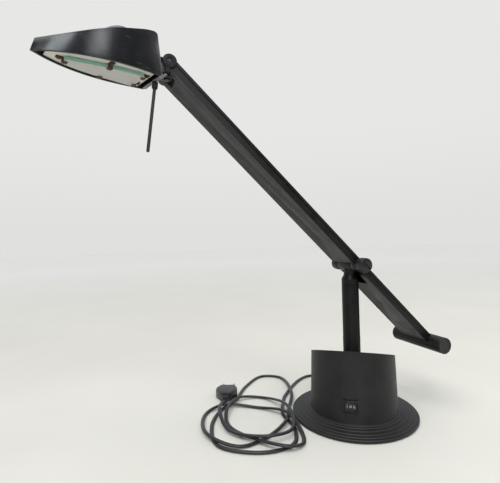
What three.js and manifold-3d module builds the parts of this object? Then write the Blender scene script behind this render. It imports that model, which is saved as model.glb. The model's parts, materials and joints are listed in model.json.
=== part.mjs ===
// Architect desk lamp: weighted drum base, swivelling post, tilting channel arm with a cross tube at its
// tail, and a wedge-shaped reflector head that tilts and turns at the arm's tip.
// Millimetres, +Z up. The origin is the centre of the base on the surface it stands on; -X is the side the
// head reaches to, and -Y is the side of the clamp knob.
import * as THREE from "three";
import { mergeVertices } from "three/addons/utils/BufferGeometryUtils.js";
import Module from "manifold-3d";

const wasm = await Module();
wasm.setup();

// ---------- driving dimensions ----------
const gap = 0.3; // clearance between pieces that touch
const deg = Math.PI / 180;
const past = 60; // how far a cutting tool reaches past the piece it cuts

// sides of turned pieces, by size
const drumSides = 56;
const roundSides = 28;
const smallSides = 16;
const tinySides = 12;

const flangeRadius = 90; // base
const footRadius = 62.4;
const footHeight = 11.1;
const drumDraft = 0.033; // the drum narrows by this much per mm of height
const drumMidHeight = 88.4; // height of the slanted top on the axis
const drumSlope = 17.7 * deg;
const housingWall = 2.6;
const baseFrontAngle = -38.5 * deg; // the switch side, turned from -Y
const padThickness = 2;
const plateThickness = 1.5;
const ballastHeight = 13;

const switchHeight = 34.9;
const bezelWidth = 21;
const bezelHeight = 15;
const rockerWidth = 15.6;

const postRadius = 12.3; // post
const postShoulder = 198.6;
const neckRadius = 8.7;
const pivotHeight = 220.3;
const hubRadius = 10;
const hubHalf = 16.4;
const boltRadius = 3;

const armAngle = 44.24 * deg; // arm
const armWidth = 51.3;
const armThickness = 12.6;
const armWall = 1.6;
const webThickness = 1.4;
const reach = 363; // pivot to head pivot
const tail = 181.3; // pivot to the tail tube
const tailRadius = 12.1;
const tailHalf = 49;
const barrelRadius = 8.5;
const barrelHalf = 27.5;
const barrelMidHalf = 9;

const headYaw = 22.36 * deg; // head
const headDroop = -0.67 * deg;
const headDrop = 20.5; // pivot axis above the shell's lower edge
const headRear = 20;
const headLength = 131;
const headHalfWidth = 27.6;
const headHeight = 52;
const shellWall = 2.2;
const glassThickness = 4;
const ventRadius = 16;
const rodRadius = 1.9;
const rodLength = 86;

const cordWidth = 5.4; // mains lead
const cordThickness = 3.6;
const plugLength = 46;
const plugWidth = 35.3;
const plugHeight = 13.6;
const pinRadius = 2;
const pinLength = 19;
const pinPitch = 18.6;

// ---------- materials ----------
const finish = (color, roughness, metalness = 0) =>
  new THREE.MeshStandardMaterial({ color, roughness, metalness });
const blackPlastic = finish(0x1c1c1d, 0.5);
const glossBlack = finish(0x141416, 0.28);
const blackPaint = finish(0x19191b, 0.42, 0.3);
const rubber = finish(0x101011, 0.8);
const steel = finish(0x9a9c9e, 0.35, 1);
const castIron = finish(0x3c3d40, 0.7, 0.8);
const copper = finish(0x9c5a30, 0.4, 0.9);
const whiteEnamel = finish(0xb9b8b2, 0.45, 0.2);
const glassGreen = finish(0x9fc7b3, 0.08);
const rustySteel = finish(0x5a3a26, 0.65, 0.7);
const ceramic = finish(0xe4e0d6, 0.6);
const greyPlastic = finish(0x8b8c8c, 0.55);

// ---------- solids ----------
function solid(geometry) {
  const flat = geometry.index ? geometry.toNonIndexed() : geometry;
  const bare = new THREE.BufferGeometry().setAttribute("position", flat.getAttribute("position"));
  const merged = mergeVertices(bare, 1e-4);
  return new wasm.Manifold(
    new wasm.Mesh({
      numProp: 3,
      vertProperties: merged.getAttribute("position").array,
      triVerts: new Uint32Array(merged.index.array),
    }),
  );
}

function surface(manifold) {
  const mesh = manifold.getMesh();
  const geometry = new THREE.BufferGeometry();
  geometry.setAttribute("position", new THREE.BufferAttribute(mesh.vertProperties, 3));
  geometry.setIndex(new THREE.BufferAttribute(mesh.triVerts, 1));
  const loose = geometry.toNonIndexed();
  loose.computeVertexNormals();
  return loose;
}

function moved(geometry, x = 0, y = 0, z = 0) {
  return geometry.translate(x, y, z);
}

function block(x0, x1, y0, y1, z0, z1) {
  const box = new THREE.BoxGeometry(x1 - x0, y1 - y0, z1 - z0);
  return solid(moved(box, (x0 + x1) / 2, (y0 + y1) / 2, (z0 + z1) / 2));
}

// A turned piece: profile points [radius, height], which start and end on the axis or close on themselves.
function turned(profile, segments = 24) {
  const points = profile.map(([r, z]) => new THREE.Vector2(r, z));
  if (profile[0][0] > 0) points.push(points[0].clone());
  const lathe = new THREE.LatheGeometry(points, segments);
  return solid(lathe.rotateX(Math.PI / 2));
}

// The same, lying along Y: the profile's height runs towards +Y.
function turnedAlongY(profile, segments = 24) {
  const points = profile.map(([r, y]) => new THREE.Vector2(r, y));
  if (profile[0][0] > 0) points.push(points[0].clone());
  return solid(new THREE.LatheGeometry(points, segments));
}

const rod = (radius, z0, z1, segments = 20) =>
  turned([[0, z0], [radius, z0], [radius, z1], [0, z1]], segments);
const rodAlongY = (radius, y0, y1, segments = 20) =>
  turnedAlongY([[0, y0], [radius, y0], [radius, y1], [0, y1]], segments);
const tube = (inner, outer, z0, z1, segments = 24) =>
  turned([[inner, z0], [outer, z0], [outer, z1], [inner, z1]], segments);
const tubeAlongY = (inner, outer, y0, y1, segments = 24) =>
  turnedAlongY([[inner, y0], [outer, y0], [outer, y1], [inner, y1]], segments);

// A flat outline [x, y] raised from z0 to z1.
function plate(outline, z0, z1) {
  const shape = new THREE.Shape(outline.map(([x, y]) => new THREE.Vector2(x, y)));
  const body = new THREE.ExtrudeGeometry(shape, { depth: z1 - z0, bevelEnabled: false });
  return solid(moved(body, 0, 0, z0));
}

const turn = (axis, angle) => {
  const pick = { x: [1, 0, 0], y: [0, 1, 0], z: [0, 0, 1] }[axis];
  return new THREE.Matrix4().makeRotationAxis(new THREE.Vector3(...pick), angle);
};
const place = (body, matrix) => body.transform(matrix.elements);
const shift = (body, x, y, z) => body.translate([x, y, z]);

// ---------- scene graph ----------
const lamp = new THREE.Group();
const base = new THREE.Group();
base.rotation.z = baseFrontAngle;
const post = new THREE.Group();
const arm = new THREE.Group();
arm.position.z = pivotHeight;
arm.rotation.y = armAngle;
const headMount = new THREE.Group();
headMount.position.set(-reach * Math.cos(armAngle), 0, pivotHeight + reach * Math.sin(armAngle));
headMount.rotation.y = headDroop;
const head = new THREE.Group();
head.rotation.z = headYaw;
headMount.add(head);
lamp.add(base, post, arm, headMount);

function add(group, name, body, material) {
  const mesh = new THREE.Mesh(surface(body), material);
  mesh.name = name;
  group.add(mesh);
  return mesh;
}

// ---------- base ----------
const drumRadiusAt = (z) => footRadius - drumDraft * (z - footHeight);
const drumTop = 116; // above the highest corner of the slanted top

// Everything under a plane that passes through the axis at height z and slopes down towards the back.
function below(z) {
  const half = 200;
  const slab = block(-half, half, -half, half, -2 * half, 0);
  return shift(place(slab, turn("x", -drumSlope)), 0, 0, z);
}

const flangeUnderside = 4.1;
const skirtInner = flangeRadius - 5;
// the flange's low steps: how far out from the foot to the flange's edge, and the bottom and top of each
const treads = [
  [0.81, 4.7, 5.7],
  [0.62, 5.8, 6.9],
  [0.385, 7.0, 8.1],
  [0.18, 8.2, 9.3],
].map(([share, low, high]) => [footRadius + share * (flangeRadius - footRadius), low, high]);

function housingOutline() {
  const outline = [[0, 0.6], [flangeRadius - 0.8, 0.6], [flangeRadius, 1.4], [flangeRadius, 4]];
  outline.push([flangeRadius - 0.6, 4.5]);
  for (const [radius, low, high] of treads) outline.push([radius + 0.4, low], [radius, high]);
  outline.push([footRadius + 1.8, 9.4], [footRadius + 1.4, 10.6], [footRadius + 0.2, 10.6]);
  outline.push([footRadius, footHeight], [drumRadiusAt(drumTop), drumTop], [0, drumTop]);
  return outline;
}

const postHole = postRadius + 0.9;
const bushOuter = postRadius + 2.5;
const bossRadius = bushOuter + gap + 2.5;
const bossBottom = 50;
const bushTop = 76;
const roofLift = housingWall / Math.cos(drumSlope);

function baseHousing() {
  const cavityRadius = (z) => drumRadiusAt(z) - housingWall;
  const cavity = turned(
    [[0, -1], [skirtInner, -1], [skirtInner, flangeUnderside],
      [cavityRadius(flangeUnderside), flangeUnderside], [cavityRadius(drumTop), drumTop], [0, drumTop]],
    drumSides,
  ).intersect(below(drumMidHeight - roofLift));
  const bossTop = below(drumMidHeight - roofLift / 2);
  const boss = rod(bossRadius, bossBottom, drumTop, roundSides).intersect(bossTop);
  const bore = rod(bushOuter + gap, bossBottom - 1, bushTop + gap, roundSides);
  return turned(housingOutline(), drumSides)
    .intersect(below(drumMidHeight))
    .subtract(cavity)
    .add(boss)
    .subtract(bore)
    .subtract(rod(postHole, bossBottom, drumTop, roundSides))
    .subtract(switchHole())
    .subtract(reliefHole())
    .subtract(screwHoles(screwRadius + gap, -1, screwTop + gap));
}

// rocker switch in the front of the drum
const switchWall = drumRadiusAt(switchHeight);
const bezelBack = -(switchWall + gap);
const bezelFront = bezelBack - 1.9;
const socketHalfWidth = bezelWidth / 2 - 1.2;
const socketHalfHeight = bezelHeight / 2 - 1.2;
const socketDepth = 15;
const socketWall = 0.9;
const rockerPivot = bezelBack + 4.2;
const rockerPlay = 0.9; // room for the rocker to swing in the socket

function switchHole() {
  const w = socketHalfWidth + gap;
  const h = socketHalfHeight + gap;
  return block(-w, w, bezelBack - 4, bezelBack + 12, switchHeight - h, switchHeight + h);
}

function switchFrame() {
  const w = bezelWidth / 2;
  const h = bezelHeight / 2;
  const rim = block(-w, w, bezelFront, bezelBack, switchHeight - h, switchHeight + h);
  const socket = block(-socketHalfWidth, socketHalfWidth, bezelBack - 0.5, bezelBack + socketDepth,
    switchHeight - socketHalfHeight, switchHeight + socketHalfHeight);
  const mouthHalf = rockerWidth / 2 + rockerPlay;
  const mouth = block(-mouthHalf, mouthHalf, bezelFront - 1, bezelBack + socketDepth - 3,
    switchHeight - socketHalfHeight + socketWall, switchHeight + socketHalfHeight - socketWall);
  return rim.add(socket).subtract(mouth);
}

function rocker() {
  const half = rockerWidth / 2;
  const front = bezelFront - 0.2;
  const outline = [[-half, front - 1.1], [0, front + 0.5], [half, front - 1.1], [half - 0.4, rockerPivot],
    [3, rockerPivot + 4], [-3, rockerPivot + 4], [-half + 0.4, rockerPivot]];
  const height = socketHalfHeight - socketWall - 0.4;
  return plate(outline, switchHeight - height, switchHeight + height);
}

// lead entry at the back
const entryHeight = 17;
const reliefRadius = 5.4;
const reliefTip = 28;
const entryWall = drumRadiusAt(entryHeight);

function reliefHole() {
  return shift(rodAlongY(reliefRadius - 1 + gap, entryWall - 8, entryWall + 4), 0, 0, entryHeight);
}

// Turned along Y: an inner flange, a shank through the wall and a long taper outside.
function strainRelief() {
  const inside = entryWall - housingWall - gap;
  const outside = entryWall + 0.6;
  return shift(
    turnedAlongY(
      [[0, inside - 3], [reliefRadius + 1, inside - 3], [reliefRadius + 1, inside - gap],
        [reliefRadius - 1, inside - gap], [reliefRadius - 1, outside], [reliefRadius, outside + 0.2],
        [reliefRadius, outside + 2.5],
        [4.4, outside + 4], [3.1, entryWall + reliefTip], [0, entryWall + reliefTip]],
      24,
    ),
    0, 0, entryHeight,
  );
}

// screws that hold the bottom plate to the flange
const screwRadius = 1.5;
const screwTop = 7;
const screwCircle = 70;
const screwCount = 3;
const plateBottom = padThickness + gap;

const screwSpot = (i) => {
  const angle = (i / screwCount) * 2 * Math.PI + Math.PI / 6;
  return [screwCircle * Math.cos(angle), screwCircle * Math.sin(angle)];
};

function screwHoles(radius, z0, z1) {
  let holes = null;
  for (let i = 0; i < screwCount; i++) {
    const hole = shift(rod(radius, z0, z1, smallSides), ...screwSpot(i), 0);
    holes = holes ? holes.add(hole) : hole;
  }
  return holes;
}

function bottomScrew(i) {
  const screw = turned(
    [[0, 0.7], [3, 0.7], [3, plateBottom - gap], [screwRadius, plateBottom - gap],
      [screwRadius, screwTop], [0, screwTop]],
    smallSides,
  );
  return shift(screw, ...screwSpot(i), 0);
}

const ballastBottom = plateBottom + plateThickness + gap;
const ballastTop = ballastBottom + ballastHeight;
const coreBottom = ballastTop + 6;
const coreTop = coreBottom + 16;
const coreHalf = 27;
const coreBack = 26;
const coreFront = -19;
const coreLimb = 9; // the outer limbs' width, and half of the middle one's
const coreWindow = 9; // width of each opening beside the middle limb
const coilReach = 4.5;

function transformerCore() {
  const stack = block(-coreHalf, coreHalf, coreFront, coreBack, coreBottom, coreTop);
  const opening = (x) => block(x - coreWindow / 2, x + coreWindow / 2, coreFront + coreLimb,
    coreBack - coreLimb, coreBottom - 1, coreTop + 1);
  const foot = (x) => block(x - 4, x + 4, coreFront, coreBack, ballastTop + gap, coreBottom + 0.5);
  const openingAt = coreLimb + coreWindow / 2;
  const footAt = coreHalf - 5;
  const laminations = stack.subtract(opening(-openingAt)).subtract(opening(openingAt));
  return laminations.add(foot(-footAt)).add(foot(footAt));
}

function transformerCoil() {
  const limb = coreLimb + gap;
  const outer = coreLimb + coreWindow - gap;
  const front = coreFront + coreLimb + gap;
  const back = coreBack - coreLimb - gap;
  return block(-outer, outer, front, back, coreBottom - coilReach, coreTop + coilReach).subtract(
    block(-limb, limb, front - 1, back + 1, coreBottom - gap, coreTop + gap),
  );
}

const terminalPitch = 7;
const terminalBack = 38;

function terminalBlock() {
  let strip = block(-18, 18, terminalBack - 4, terminalBack + 4, ballastTop + gap, ballastTop + 9);
  for (let i = -2; i <= 2; i++) {
    const well = rod(1.6, ballastTop + 5, ballastTop + 12, tinySides);
    strip = strip.subtract(shift(well, i * terminalPitch, terminalBack, 0));
  }
  return strip;
}

const plateRadius = skirtInner - 1;
const ballastRadius = 54;

function bottomPlate() {
  const disc = rod(plateRadius, plateBottom, plateBottom + plateThickness, drumSides);
  return disc.subtract(screwHoles(screwRadius + gap, 0, 9));
}

function basePad() {
  return rod(plateRadius, 0, padThickness, drumSides).subtract(screwHoles(3.5, -1, 4));
}

add(base, "base_pad", basePad(), rubber);
add(base, "bottom_plate", bottomPlate(), steel);
add(base, "base_housing", baseHousing(), blackPlastic);
for (let i = 0; i < screwCount; i++) add(base, `bottom_screw_${i + 1}`, bottomScrew(i), steel);
add(base, "ballast_weight", rod(ballastRadius, ballastBottom, ballastTop, roundSides), castIron);
add(base, "transformer_core", transformerCore(), castIron);
add(base, "transformer_coil", transformerCoil(), copper);
add(base, "terminal_block", terminalBlock(), ceramic);
add(base, "post_bush", tube(postRadius + 0.5, bushOuter, bossBottom, bushTop), greyPlastic);
add(base, "switch_frame", switchFrame(), blackPlastic);
add(base, "switch_rocker", rocker(), glossBlack);
add(base, "strain_relief", strainRelief(), rubber);

// ---------- post ----------
const postBottom = bossBottom - 4;
const sleeveTop = 113;
const tubeTop = 191;
const tubeInner = 10;
const grooveHeight = 195; // the fine groove under the post's shoulder

function postTube() {
  return turned(
    [[tubeInner, postBottom], [postRadius + 0.2, postBottom], [postRadius + 0.2, sleeveTop],
      [postRadius, sleeveTop + 0.4], [postRadius - 0.1, tubeTop - 0.4], [postRadius - 0.5, tubeTop],
      [tubeInner, tubeTop]],
    roundSides,
  );
}

function postHead() {
  const shoulder = postRadius - 0.1;
  const spigot = tubeInner - gap;
  const column = turned(
    [[0, tubeTop - 11], [spigot, tubeTop - 11], [spigot, tubeTop + gap], [shoulder - 0.4, tubeTop + gap],
      [shoulder, tubeTop + 0.7], [shoulder, grooveHeight - 0.4], [shoulder - 0.4, grooveHeight],
      [shoulder, grooveHeight + 0.4], [shoulder, postShoulder], [neckRadius, postShoulder + 6.4],
      [neckRadius, pivotHeight - 4], [0, pivotHeight - 4]],
    roundSides,
  );
  const hub = rodAlongY(hubRadius, -hubHalf, hubHalf, roundSides);
  const bore = rodAlongY(boltRadius + gap, -past, past);
  return column.add(shift(hub, 0, 0, pivotHeight)).subtract(shift(bore, 0, 0, pivotHeight));
}

add(post, "post_tube", postTube(), blackPaint);
add(post, "post_head", postHead(), blackPaint);
const retainingRing = tube(postRadius + 0.2 + gap, postRadius + 4.4, postBottom, bossBottom - 0.5);
add(post, "post_retaining_ring", retainingRing, steel);

// ---------- arm: local +X runs down to the tail, local Z is square to the arm ----------
const side = armWidth / 2;
const deep = armThickness / 2;
const grooveLow = 1.6;
const grooveHigh = 2.5;
const lipOuter = side - armWall - gap;
const lipInner = lipOuter - 1.5;
const lipBottom = -1.5;
const collarInner = hubHalf + 1.6;
const collarOuter = side + 2;
const windowLength = 36;
const neckWindow = postRadius + 0.8;
const yokeHalf = 8;
const notchSide = yokeHalf + 4.4; // room for the yoke's tabs when the head is turned and tipped down

// What is cut from both halves of the arm: round seats for the end tubes, the pivot's window and the
// head's notch.
function armCuts(z0, z1) {
  const windowSide = side - armWall - gap;
  return block(-hubRadius - 0.7, hubRadius + 0.7, -windowSide, windowSide, z0, z1)
    .add(block(-reach - 20, -reach + 17, -notchSide, notchSide, z0, z1))
    .add(shift(rodAlongY(barrelRadius + gap, -past, past, roundSides), -reach, 0, 0))
    .add(shift(rodAlongY(tailRadius + gap, -past, past, roundSides), tail, 0, 0));
}

const screwStations = [-270.6, -68, 80.5];
const dimpleStations = [-349, 143.5]; // pairs of small rivet holes near the ends
const dimpleSide = 21.7;
const dimpleRadius = 0.9;

function armChannel() {
  const outer = block(-reach, tail, -side, side, -deep, grooveLow);
  const inside = side - armWall;
  const inner = block(-reach - 1, tail + 1, -inside, inside, -deep + webThickness, grooveLow + 1);
  let channel = outer
    .subtract(inner)
    .subtract(armCuts(-deep - 1, grooveLow + 1))
    .subtract(block(-hubRadius - 0.7, windowLength, -neckWindow, neckWindow, -deep - 1, 0))
    .subtract(rodAlongY(boltRadius + gap, -past, past));
  for (const x of screwStations) {
    channel = channel.subtract(shift(rod(2.4, -deep - 1, 0, tinySides), x, 0, 0));
  }
  for (const x of dimpleStations) {
    for (const y of [-dimpleSide, dimpleSide]) {
      channel = channel.subtract(shift(rod(dimpleRadius, -deep - 1, 0, 8), x, y, 0));
    }
  }
  return channel;
}

function armCover() {
  const top = block(-reach, tail, -side, side, deep - webThickness, deep);
  const edge = (y0, y1) => block(-reach, tail, y0, y1, grooveHigh, deep);
  const lip = (y0, y1) => block(-reach, tail, y0, y1, lipBottom, deep);
  return top
    .add(edge(-side, -side + armWall + 0.4))
    .add(edge(side - armWall - 0.4, side))
    .add(lip(-lipOuter, -lipInner))
    .add(lip(lipInner, lipOuter))
    .subtract(armCuts(lipBottom - 1, deep + 1))
    .subtract(rodAlongY(boltRadius + gap, -past, past));
}

function coverScrew(x) {
  const low = -deep + 0.1;
  const high = deep - webThickness - gap;
  const screw = turned(
    [[0, low], [2, low], [2, low + 1.2], [1.3, low + 1.5], [1.3, high], [0, high]],
    tinySides,
  );
  return shift(screw, x, 0, 0);
}

// A collar that fills the pivot's window, notched round the arm's side wall; sideSign is -1 near, +1 far.
function pivotCollar(sideSign) {
  const wall = side - armWall / 2;
  const slot = armWall / 2 + gap;
  const notch = block(-past, past, wall - slot, wall + slot, -deep - gap, deep + gap);
  const lipNotch = block(-past, past, lipInner - gap, lipOuter + gap, lipBottom - gap, deep + gap);
  const collar = tubeAlongY(boltRadius + gap, hubRadius, collarInner, collarOuter, roundSides);
  const body = collar.subtract(notch).subtract(lipNotch);
  return sideSign > 0 ? body : place(body, turn("z", Math.PI));
}

function frictionWasher(sideSign) {
  const washer = tubeAlongY(boltRadius + gap, hubRadius - 0.5, hubHalf + gap, collarInner - gap, roundSides);
  return sideSign > 0 ? washer : place(washer, turn("z", Math.PI));
}

const knobLength = 12;
const capLength = 8;

function clampKnob() {
  const inner = -(collarOuter + gap);
  const outer = inner - knobLength;
  const knob = turnedAlongY(
    [[0, outer], [hubRadius - 1, outer], [hubRadius + 0.2, outer + 1.2], [hubRadius + 0.2, inner - 0.6],
      [hubRadius - 0.4, inner], [0, inner]],
    roundSides,
  );
  const slot = block(-8, 8, outer - 1, outer + 1.6, -1.1, 1.1);
  return knob.subtract(slot).subtract(rodAlongY(boltRadius + gap, inner - 7, inner + 1));
}

function pivotCap() {
  const inner = collarOuter + gap;
  const outer = inner + capLength;
  const cap = turnedAlongY(
    [[0, inner], [hubRadius - 0.2, inner], [hubRadius - 0.2, outer - 4], [hubRadius - 1.2, outer - 1.6],
      [hubRadius - 4, outer - 0.2], [0, outer]],
    roundSides,
  );
  return cap.subtract(rodAlongY(boltRadius + gap, inner - 1, inner + 5));
}

// The lead inside the channel, beside the cover screws, from the pivot's window to the barrels' tongues.
const cableRadius = 1.9;
const cableSide = 6;
const cableDrop = 2.4;

function armCable() {
  const run = rod(cableRadius, hubRadius + 24, reach - 24, tinySides);
  return shift(place(run, turn("y", -Math.PI / 2)), 0, cableSide, -cableDrop);
}

const tubeWall = 1.6;
const endCapFace = 2.7;
const endCapSpigot = 4;
const tailHoles = [37, -27]; // along the tube, on its underside

function tailTube() {
  const length = tailHalf - endCapFace - gap;
  let body = tubeAlongY(tailRadius - tubeWall, tailRadius, -length, length, roundSides);
  for (const y of tailHoles) {
    const hole = rod(1.3, -tailRadius - 1, -tailRadius + tubeWall + 1, tinySides);
    body = body.subtract(shift(hole, 0, y, 0));
  }
  return shift(body, tail, 0, 0);
}

function tailCap(sideSign) {
  const face = tailHalf;
  const seat = face - endCapFace;
  const spigot = tailRadius - tubeWall - gap;
  const cap = turnedAlongY(
    [[0, seat - endCapSpigot], [spigot, seat - endCapSpigot], [spigot, seat], [tailRadius, seat],
      [tailRadius, face - 0.8], [tailRadius - 0.8, face], [tailRadius - 3, face],
      [tailRadius - 3.6, face - 0.8], [0, face - 0.8]],
    roundSides,
  );
  return shift(sideSign > 0 ? cap : place(cap, turn("z", Math.PI)), tail, 0, 0);
}

function tailSlug() {
  const half = tailHalf - endCapFace - endCapSpigot - 1;
  return shift(rodAlongY(tailRadius - tubeWall - gap, -half, half, roundSides), tail, 0, 0);
}

// Half of the head's pivot barrel, with a tongue that sits in the arm's channel.
function headBarrel(sideSign) {
  const barrel = turnedAlongY(
    [[boltRadius + gap, barrelMidHalf + gap], [barrelRadius, barrelMidHalf + gap],
      [barrelRadius, barrelHalf - 0.6], [barrelRadius - 0.6, barrelHalf], [boltRadius + gap, barrelHalf]],
    roundSides,
  );
  const inside = deep - webThickness - gap;
  const tongue = block(6, 22, notchSide + 0.4, lipInner - gap, -inside, inside);
  const whole = barrel.add(tongue);
  return shift(sideSign > 0 ? whole : place(whole, turn("x", Math.PI)), -reach, 0, 0);
}

const pinStart = 5.2;
const pinReach = barrelHalf - 0.7;

function headPin(sideSign) {
  const pin = rodAlongY(boltRadius, pinStart, pinReach, smallSides);
  return shift(sideSign > 0 ? pin : place(pin, turn("z", Math.PI)), -reach, 0, 0);
}

add(arm, "arm_channel", armChannel(), blackPaint);
add(arm, "arm_cover", armCover(), blackPaint);
screwStations.forEach((x, i) => add(arm, `cover_screw_${i + 1}`, coverScrew(x), steel));
add(arm, "pivot_collar_near", pivotCollar(-1), blackPaint);
add(arm, "pivot_collar_far", pivotCollar(1), blackPaint);
add(arm, "friction_washer_near", frictionWasher(-1), greyPlastic);
add(arm, "friction_washer_far", frictionWasher(1), greyPlastic);
add(arm, "pivot_bolt", rodAlongY(boltRadius, -(collarOuter + 6), collarOuter + 4, roundSides), steel);
add(arm, "pivot_cap", pivotCap(), blackPlastic);
add(arm, "arm_cable", armCable(), rubber);
add(arm, "tail_tube", tailTube(), blackPaint);
add(arm, "tail_cap_near", tailCap(-1), blackPlastic);
add(arm, "tail_cap_far", tailCap(1), blackPlastic);
add(arm, "tail_weight", tailSlug(), castIron);
add(arm, "head_barrel_near", headBarrel(-1), blackPaint);
add(arm, "head_barrel_far", headBarrel(1), blackPaint);
add(arm, "head_pin_near", headPin(-1), steel);
add(arm, "head_pin_far", headPin(1), steel);
add(arm, "clamp_knob", clampKnob(), blackPlastic);

// ---------- head ----------
// Its origin is at its pivot. t is measured forwards from there and w towards the near side; heights are
// taken from the shell's lower edge.
const at = (t, w) => [-t, -w];
const yokeLow = barrelRadius + 0.4;
const yokeHigh = yokeLow + 2;
const swivelPinRadius = 2.5;
const screwHead = 1.4;

function barrelMiddle() {
  const barrel = rodAlongY(barrelRadius, -barrelMidHalf, barrelMidHalf, roundSides);
  const crossBore = rodAlongY(boltRadius + gap, -past, past, smallSides);
  return barrel.subtract(crossBore).subtract(rod(swivelPinRadius + gap, -past, past, smallSides));
}

// A headed pin from the barrel through one of the yoke's tabs; sign is 1 above, -1 below.
function swivelPin(sign) {
  const low = boltRadius + 1;
  const seat = yokeHigh + gap;
  const pin = turned(
    [[0, low], [swivelPinRadius, low], [swivelPinRadius, seat], [4, seat], [4, seat + screwHead],
      [0, seat + screwHead]],
    smallSides,
  );
  return sign > 0 ? pin : place(pin, turn("x", Math.PI));
}

add(headMount, "barrel_middle", barrelMiddle(), blackPaint);

// The head seen from above: shares of its length, and of its half width there.
const widthStations = [
  [0, 0.87], [0.12, 0.945], [0.3, 1], [0.46, 0.975], [0.62, 0.85],
  [0.76, 0.655], [0.88, 0.4], [0.955, 0.19], [1, 0.055],
];
const sideCurve = new THREE.SplineCurve(
  widthStations.map(([along, across]) =>
    new THREE.Vector2(headRear + along * headLength, across * headHalfWidth)),
);

// The head's outline from above, pulled in by an inset.
function headOutline(inset) {
  const points = sideCurve.getPoints(22);
  const near = points.map((p, i) => {
    const next = points[Math.min(i + 1, points.length - 1)];
    const last = points[Math.max(i - 1, 0)];
    const along = new THREE.Vector2().subVectors(next, last).normalize();
    return [p.x + along.y * inset, p.y - along.x * inset];
  });
  const kept = near.filter(([t, w]) => w > 0.4 && t > headRear + inset);
  const start = [headRear + inset, kept[0][1]];
  const right = [start, ...kept];
  return [...right.map(([t, w]) => at(t, w)), ...right.reverse().map(([t, w]) => at(t, -w))];
}

// The outline raised as a body whose walls lean in towards a middle line, as a moulding's do.
const wallLean = 0.003;
const leanCentre = -35;
function headBody(inset, z0, z1) {
  const shape = new THREE.Shape(headOutline(inset).map(([x, y]) => new THREE.Vector2(x, y)));
  const body = new THREE.ExtrudeGeometry(shape, { depth: z1 - z0, bevelEnabled: false });
  const position = body.getAttribute("position");
  for (let i = 0; i < position.count; i++) {
    const z = position.getZ(i) + z0;
    const scale = 1 - wallLean * z;
    position.setXYZ(i, leanCentre + (position.getX(i) - leanCentre) * scale, position.getY(i) * scale, z);
  }
  return solid(body);
}

// The head seen from the side: shares of its length, and of its height there.
const roofStations = [
  [0, 1], [0.09, 0.965], [0.25, 0.85], [0.4, 0.735], [0.55, 0.6], [0.72, 0.435], [0.88, 0.3], [1, 0.215],
];
const roofCurve = roofStations.map(([along, up]) => [headRear + along * headLength, up * headHeight]);

// Everything under the roof, lowered by a thickness.
function underRoof(thickness) {
  const roof = roofCurve.map(([t, z]) => [t, z - thickness]);
  const rear = headRear - 10;
  const front = headRear + headLength + 10;
  const profile = [[rear, -20], [front, -20], [front, roof.at(-1)[1] - 3], ...roof.reverse(),
    [rear, headHeight - thickness + 1]];
  const wedge = plate(profile.map(([t, z]) => [-t, z]), -past, past);
  return place(wedge, turn("x", Math.PI / 2));
}

function headShell() {
  const outer = headBody(0, 0, headHeight + 5).intersect(underRoof(0));
  const inner = headBody(shellWall, -5, headHeight + 5).intersect(underRoof(shellWall));
  const windowSide = yokeHalf + 0.5;
  const windowHalf = yokeHigh + gap + 0.1;
  const yokeWindow = block(-headRear - 12, -headRear + 2, -windowSide, windowSide,
    headDrop - windowHalf, headDrop + windowHalf);
  return shift(outer.subtract(inner).subtract(yokeWindow).subtract(ventSeat()), 0, 0, -headDrop);
}

const ventStation = 64;
const roofSlope = 17 * deg;
const ventHeight = 9;
const ventSpigot = ventRadius - 4.5;

// The roof's height at a distance in front of the pivot.
function roofAt(t) {
  for (let i = 1; i < roofCurve.length; i++) {
    const [t0, z0] = roofCurve[i - 1];
    const [t1, z1] = roofCurve[i];
    if (t <= t1) return z0 + ((z1 - z0) * (t - t0)) / (t1 - t0);
  }
  return roofCurve.at(-1)[1];
}

const ventFrame = new THREE.Matrix4()
  .makeTranslation(-ventStation, 0, roofAt(ventStation))
  .multiply(turn("y", -roofSlope));

// The round hole in the roof that the vent cap's spigot drops into.
function ventSeat() {
  return place(rod(ventSpigot + 0.5, -8, 3, smallSides), ventFrame);
}

function ventCap() {
  const foot = 1.2;
  const cap = turned(
    [[0, -2], [ventSpigot, -2], [ventSpigot, foot], [ventRadius, foot], [ventRadius, foot + 3],
      [ventRadius - 2, foot + 5.5], [ventRadius - 6, ventHeight - 0.8], [0, ventHeight]],
    roundSides,
  );
  return shift(place(cap, ventFrame), 0, 0, -headDrop);
}

// white inner panel with a trough over the lamp
const panelLow = 1.3;
const panelHigh = 2.5;
const troughRear = 42;
const troughFront = 116;
const troughHeight = 17;
const troughHalfRear = 15;
const troughHalfFront = 7.4;

// The trough's rear and front corners on one side, pulled in by an inset, at a height.
function troughCorners(inset, height) {
  const narrow = height * 0.25;
  return [
    [troughRear + inset + narrow, troughHalfRear - inset - narrow],
    [troughFront - inset - height * 1.4, troughHalfFront - inset - narrow * 0.4],
  ];
}

// The trough's hollow from z0 to z1: its rear, front and sides lean in as it rises.
function troughBody(inset, z0, z1) {
  const [[t0, w0], [t1, w1]] = troughCorners(inset, 0);
  const [[u0, v0], [u1, v1]] = troughCorners(inset, z1);
  const corners = [at(t0, w0), at(t1, w1), at(t1, -w1), at(t0, -w0)];
  const shape = new THREE.Shape(corners.map(([x, y]) => new THREE.Vector2(x, y)));
  const body = new THREE.ExtrudeGeometry(shape, { depth: z1 - z0, bevelEnabled: false });
  const position = body.getAttribute("position");
  for (let i = 0; i < position.count; i++) {
    const isTop = position.getZ(i) > (z1 - z0) / 2;
    const front = position.getX(i) < -(t0 + t1) / 2;
    const sign = Math.sign(position.getY(i));
    if (isTop) position.setXYZ(i, front ? -u1 : -u0, sign * (front ? v1 : v0), z1);
    else position.setZ(i, z0);
  }
  return solid(body);
}

const panelSheet = 1.2;
const panelRear = 28.5;
const panelFront = 138;

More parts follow.
